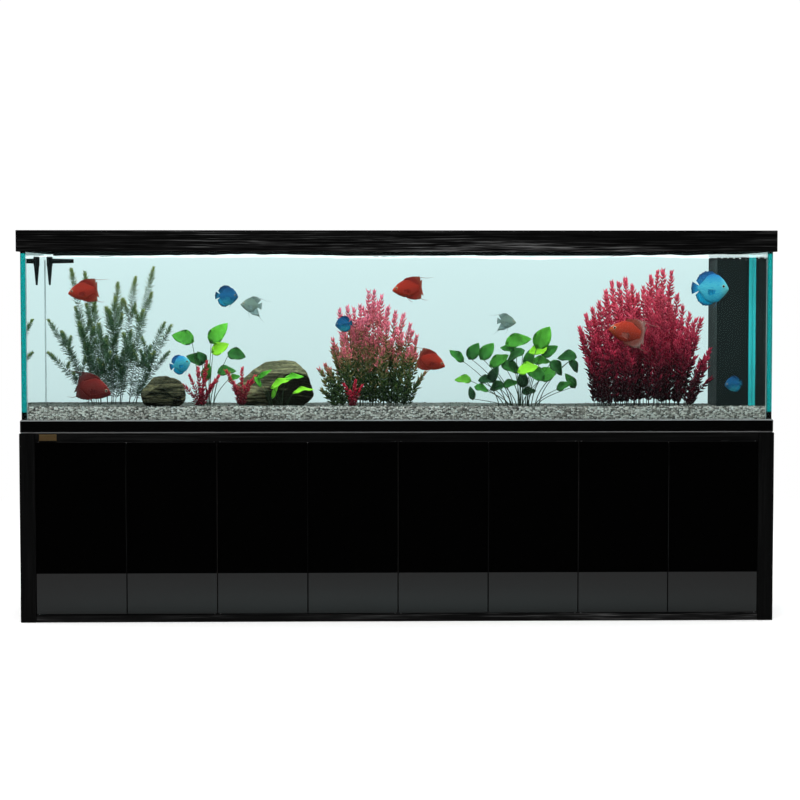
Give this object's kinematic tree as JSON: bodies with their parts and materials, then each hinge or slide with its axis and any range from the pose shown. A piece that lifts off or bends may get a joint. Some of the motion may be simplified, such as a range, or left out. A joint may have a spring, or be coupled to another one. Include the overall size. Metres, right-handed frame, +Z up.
{
  "type": "aquarium on stand",
  "caption": "Long glass fish tank with black trim and lidded hood, planted and gravelled, on a black cabinet stand with hinged doors and a filter inside.",
  "frame": {"origin": "on the floor under the middle of the object's box", "axes": "+X along the tank to the viewer's right, +Y from the front to the back, +Z up"},
  "size_m": [3.011, 0.768, 1.5563],
  "materials": {
    "black_wood": "black stained open-grain veneer, satin",
    "door_gloss": "high-gloss black acrylic face on board",
    "trim_gloss": "black gloss strip with polished chamfers",
    "raw_board": "dark laminated board, matt",
    "tank_glass": "clear float glass with polished green-blue edges",
    "sump_glass": "clear glass",
    "plate_brass": "blank brushed plate",
    "black_plastic": "black moulded, satin",
    "grey_plastic": "grey pipe plastic",
    "handle_red": "red moulded lever",
    "heater_glass": "dark glass tube",
    "filter_foam": "open-cell foam",
    "lamp_cover": "white diffuser",
    "rod_steel": "bright rod",
    "gravel": "loose grey gravel",
    "stone": "dark olive-brown layered stone",
    "green_leaf": "green plant leaves",
    "red_leaf": "crimson plant leaves"
  },
  "bodies": {
    "stand_and_tank": {"back_panel": "black_wood", "base_trim": "trim_gloss", "deck_board": "raw_board", "door_pivot_rod_1": "rod_steel", "door_pivot_rod_2": "rod_steel", "door_pivot_rod_3": "rod_steel", "door_pivot_rod_4": "rod_steel", "door_pivot_rod_5": "rod_steel", "door_pivot_rod_6": "rod_steel", "door_pivot_rod_7": "rod_steel", "door_pivot_rod_8": "rod_steel", "drain_pipe": "grey_plastic", "end_panel_left": "black_wood", "end_panel_right": "black_wood", "fern_plant": "green_leaf", "filter_sponge": "filter_foam", "floor_board": "black_wood", "glass_back": "tank_glass", "glass_bottom": "tank_glass", "glass_brace_back": "tank_glass", "glass_brace_front": "tank_glass", "glass_brace_middle": "tank_glass", "glass_front": "tank_glass", "glass_left": "tank_glass", "glass_right": "tank_glass", "gravel_bed": "gravel", "heater": "heater_glass", "hood_frame": "black_wood", "leafy_plant_left": "green_leaf", "leafy_plant_right": "green_leaf", "lid_hinge_rod": "rod_steel", "light_bar_back": "lamp_cover", "light_bar_front": "lamp_cover", "name_plate": "plate_brass", "overflow_box": "black_plastic", "partition_left": "raw_board", "partition_middle": "raw_board", "partition_right": "raw_board", "red_bush_middle": "red_leaf", "red_bush_right": "red_leaf", "return_nozzle": "black_plastic", "return_pipe": "black_plastic", "return_pump": "black_plastic", "stone_large": "stone", "stone_small": "stone", "sump_baffle": "sump_glass", "sump_tank": "sump_glass", "top_rail": "black_wood", "valve_body": "grey_plastic"},
    "door_1": {"door_1": "door_gloss"},
    "door_2": {"door_2": "door_gloss"},
    "door_3": {"door_3": "door_gloss"},
    "door_4": {"door_4": "door_gloss"},
    "door_5": {"door_5": "door_gloss"},
    "door_6": {"door_6": "door_gloss"},
    "door_7": {"door_7": "door_gloss"},
    "door_8": {"door_8": "door_gloss"},
    "lid_left": {"hood_lid_left": "black_wood"},
    "lid_right": {"hood_lid_right": "black_wood"},
    "valve_lever": {"valve_handle": "handle_red"}
  },
  "joints": [
    {"name": "door_1_hinge", "type": "hinge", "parent": "stand_and_tank", "child": "door_1", "pos_m": [-1.4265, -0.371, 0.0327], "axis": [0, 0, -1], "range_deg": [0, 90]},
    {"name": "door_2_hinge", "type": "hinge", "parent": "stand_and_tank", "child": "door_2", "pos_m": [-0.7305, -0.371, 0.0327], "axis": [0, 0, 1], "range_deg": [0, 90]},
    {"name": "door_3_hinge", "type": "hinge", "parent": "stand_and_tank", "child": "door_3", "pos_m": [-0.7075, -0.371, 0.0327], "axis": [0, 0, -1], "range_deg": [0, 90]},
    {"name": "door_4_hinge", "type": "hinge", "parent": "stand_and_tank", "child": "door_4", "pos_m": [-0.0115, -0.371, 0.0327], "axis": [0, 0, 1], "range_deg": [0, 90]},
    {"name": "door_5_hinge", "type": "hinge", "parent": "stand_and_tank", "child": "door_5", "pos_m": [0.0115, -0.371, 0.0327], "axis": [0, 0, -1], "range_deg": [0, 90]},
    {"name": "door_6_hinge", "type": "hinge", "parent": "stand_and_tank", "child": "door_6", "pos_m": [0.7075, -0.371, 0.0327], "axis": [0, 0, 1], "range_deg": [0, 90]},
    {"name": "door_7_hinge", "type": "hinge", "parent": "stand_and_tank", "child": "door_7", "pos_m": [0.7305, -0.371, 0.0327], "axis": [0, 0, -1], "range_deg": [0, 90]},
    {"name": "door_8_hinge", "type": "hinge", "parent": "stand_and_tank", "child": "door_8", "pos_m": [1.4265, -0.371, 0.0327], "axis": [0, 0, 1], "range_deg": [0, 90]},
    {"name": "lid_left_hinge", "type": "hinge", "parent": "stand_and_tank", "child": "lid_left", "pos_m": [-0.745, 0.189, 1.5506], "axis": [-1, 0, 0], "range_deg": [0, 95]},
    {"name": "lid_right_hinge", "type": "hinge", "parent": "stand_and_tank", "child": "lid_right", "pos_m": [0.745, 0.189, 1.5506], "axis": [-1, 0, 0], "range_deg": [0, 95]},
    {"name": "valve_turn", "type": "hinge", "parent": "stand_and_tank", "child": "valve_lever", "pos_m": [1.355, 0.2437, 0.5003], "axis": [0, -1, 0], "range_deg": [0, 90]}
  ]
}
